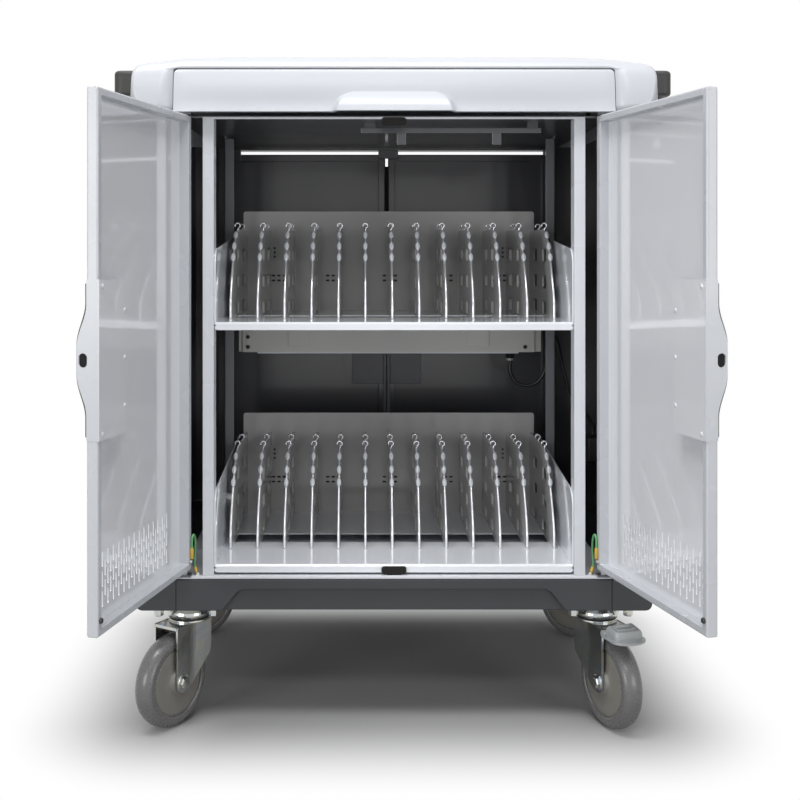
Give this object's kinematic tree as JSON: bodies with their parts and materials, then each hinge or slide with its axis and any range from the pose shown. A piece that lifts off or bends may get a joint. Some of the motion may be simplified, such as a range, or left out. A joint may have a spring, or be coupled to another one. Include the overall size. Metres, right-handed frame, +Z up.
{
  "type": "laptop charging cart",
  "caption": "Steel laptop charging cabinet on swivel casters, with double front and rear doors, two divided racks, a power strip and a hood with a flip-up front flap.",
  "frame": {"origin": "middle of the footprint on the floor, with the front doors open as pictured", "axes": "+Z up, +X to the right as seen from the front, -Y out of the front doors"},
  "size_m": [0.79, 0.7968, 0.918],
  "materials": {
    "white_powder_coat": "satin powder coat",
    "white_moulding": "moulded, semi-gloss",
    "tray_powder_coat": "satin powder coat",
    "charcoal_powder_coat": "fine matt powder coat",
    "dark_powder_coat": "semi-gloss powder coat",
    "handle_plastic": "fine moulded grain",
    "black_plastic": "moulded",
    "strip_casing": "satin",
    "lead_pvc": "smooth PVC",
    "zinc_plate": "bright zinc plate",
    "tyre_urethane": "smooth cast urethane",
    "pedal_paint": "satin"
  },
  "bodies": {
    "cabinet": {"base_plinth": "charcoal_powder_coat", "floor_panel": "white_powder_coat", "side_panel_left": "charcoal_powder_coat", "side_panel_right": "charcoal_powder_coat", "front_frame": "white_powder_coat", "inner_frame": "dark_powder_coat", "hood_shell": "white_moulding", "push_handle_left": "handle_plastic", "push_handle_right": "handle_plastic", "lower_tray": "tray_powder_coat", "upper_tray": "tray_powder_coat", "lower_divider_01": "tray_powder_coat", "lower_divider_02": "tray_powder_coat", "lower_divider_03": "tray_powder_coat", "lower_divider_04": "tray_powder_coat", "lower_divider_05": "tray_powder_coat", "lower_divider_06": "tray_powder_coat", "lower_divider_07": "tray_powder_coat", "lower_divider_08": "tray_powder_coat", "lower_divider_09": "tray_powder_coat", "lower_divider_10": "tray_powder_coat", "upper_divider_01": "tray_powder_coat", "upper_divider_02": "tray_powder_coat", "upper_divider_03": "tray_powder_coat", "upper_divider_04": "tray_powder_coat", "upper_divider_05": "tray_powder_coat", "upper_divider_06": "tray_powder_coat", "upper_divider_07": "tray_powder_coat", "upper_divider_08": "tray_powder_coat", "upper_divider_09": "tray_powder_coat", "upper_divider_10": "tray_powder_coat", "power_strip": "strip_casing", "power_lead": "lead_pvc", "inlet_box": "black_plastic", "top_latch_strike": "black_plastic", "bottom_latch_strike": "black_plastic", "caster_plate_front_left": "zinc_plate", "caster_plate_front_right": "zinc_plate", "caster_plate_rear_left": "zinc_plate", "caster_plate_rear_right": "zinc_plate"},
    "hood_flap": {"hood_flap": "white_moulding"},
    "left_door": {"left_door": "white_powder_coat", "left_lock_bracket": "white_powder_coat", "left_handle_trim": "handle_plastic"},
    "right_door": {"right_door": "white_powder_coat", "right_lock_bracket": "white_powder_coat", "right_handle_trim": "handle_plastic"},
    "rear_door_left": {"rear_door_left": "dark_powder_coat"},
    "rear_door_right": {"rear_door_right": "dark_powder_coat"},
    "caster_fork_front_left": {"caster_fork_front_left": "zinc_plate"},
    "caster_wheel_front_left": {"caster_wheel_front_left": "tyre_urethane"},
    "caster_fork_front_right": {"caster_fork_front_right": "zinc_plate"},
    "caster_wheel_front_right": {"caster_wheel_front_right": "tyre_urethane"},
    "brake_pedal_front_right": {"brake_pedal_front_right": "pedal_paint"},
    "caster_fork_rear_left": {"caster_fork_rear_left": "zinc_plate"},
    "caster_wheel_rear_left": {"caster_wheel_rear_left": "tyre_urethane"},
    "brake_pedal_rear_left": {"brake_pedal_rear_left": "pedal_paint"},
    "caster_fork_rear_right": {"caster_fork_rear_right": "zinc_plate"},
    "caster_wheel_rear_right": {"caster_wheel_rear_right": "tyre_urethane"}
  },
  "joints": [
    {"name": "left_door_hinge", "type": "hinge", "parent": "cabinet", "child": "left_door", "pos_m": [-0.283, -0.12213, 0.5285], "axis": [0, 0, -1], "range_deg": [-102.5, 17.5]},
    {"name": "right_door_hinge", "type": "hinge", "parent": "cabinet", "child": "right_door", "pos_m": [0.283, -0.12213, 0.5285], "axis": [0, 0, 1], "range_deg": [-103.3, 16.7]},
    {"name": "rear_door_left_hinge", "type": "hinge", "parent": "cabinet", "child": "rear_door_left", "pos_m": [-0.283, 0.37987, 0.5285], "axis": [0, 0, 1], "range_deg": [0, 115]},
    {"name": "rear_door_right_hinge", "type": "hinge", "parent": "cabinet", "child": "rear_door_right", "pos_m": [0.283, 0.37987, 0.5285], "axis": [0, 0, -1], "range_deg": [0, 115]},
    {"name": "hood_flap_hinge", "type": "hinge", "parent": "cabinet", "child": "hood_flap", "pos_m": [0, -0.11913, 0.8965], "axis": [-1, 0, 0], "range_deg": [0, 60]},
    {"name": "swivel_front_left", "type": "hinge", "parent": "cabinet", "child": "caster_fork_front_left", "pos_m": [-0.286, -0.06013, 0.15], "axis": [0, 0, 1], "continuous": true},
    {"name": "wheel_spin_front_left", "type": "hinge", "parent": "caster_fork_front_left", "child": "caster_wheel_front_left", "pos_m": [-0.30642, -0.09218, 0.0625], "axis": [0.8434, -0.5373, 0], "continuous": true},
    {"name": "swivel_front_right", "type": "hinge", "parent": "cabinet", "child": "caster_fork_front_right", "pos_m": [0.286, -0.06013, 0.15], "axis": [0, 0, 1], "continuous": true},
    {"name": "wheel_spin_front_right", "type": "hinge", "parent": "caster_fork_front_right", "child": "caster_wheel_front_right", "pos_m": [0.299, -0.09584, 0.0625], "axis": [0.9397, 0.342, 0], "continuous": true},
    {"name": "brake_front_right", "type": "hinge", "parent": "caster_fork_front_right", "child": "brake_pedal_front_right", "pos_m": [0.30515, -0.11275, 0.134], "axis": [0.9397, 0.342, 0], "range_deg": [0, 8]},
    {"name": "swivel_rear_left", "type": "hinge", "parent": "cabinet", "child": "caster_fork_rear_left", "pos_m": [-0.286, 0.30487, 0.15], "axis": [0, 0, 1], "continuous": true},
    {"name": "wheel_spin_rear_left", "type": "hinge", "parent": "caster_fork_rear_left", "child": "caster_wheel_rear_left", "pos_m": [-0.31674, 0.28254, 0.0625], "axis": [0.5878, -0.809, 0], "continuous": true},
    {"name": "brake_rear_left", "type": "hinge", "parent": "caster_fork_rear_left", "child": "brake_pedal_rear_left", "pos_m": [-0.33131, 0.27196, 0.134], "axis": [0.5878, -0.809, 0], "range_deg": [0, 8]},
    {"name": "swivel_rear_right", "type": "hinge", "parent": "cabinet", "child": "caster_fork_rear_right", "pos_m": [0.286, 0.30487, 0.15], "axis": [0, 0, 1], "continuous": true},
    {"name": "wheel_spin_rear_right", "type": "hinge", "parent": "caster_fork_rear_right", "child": "caster_wheel_rear_right", "pos_m": [0.31287, 0.278, 0.0625], "axis": [0.7071, 0.7071, 0], "continuous": true}
  ]
}
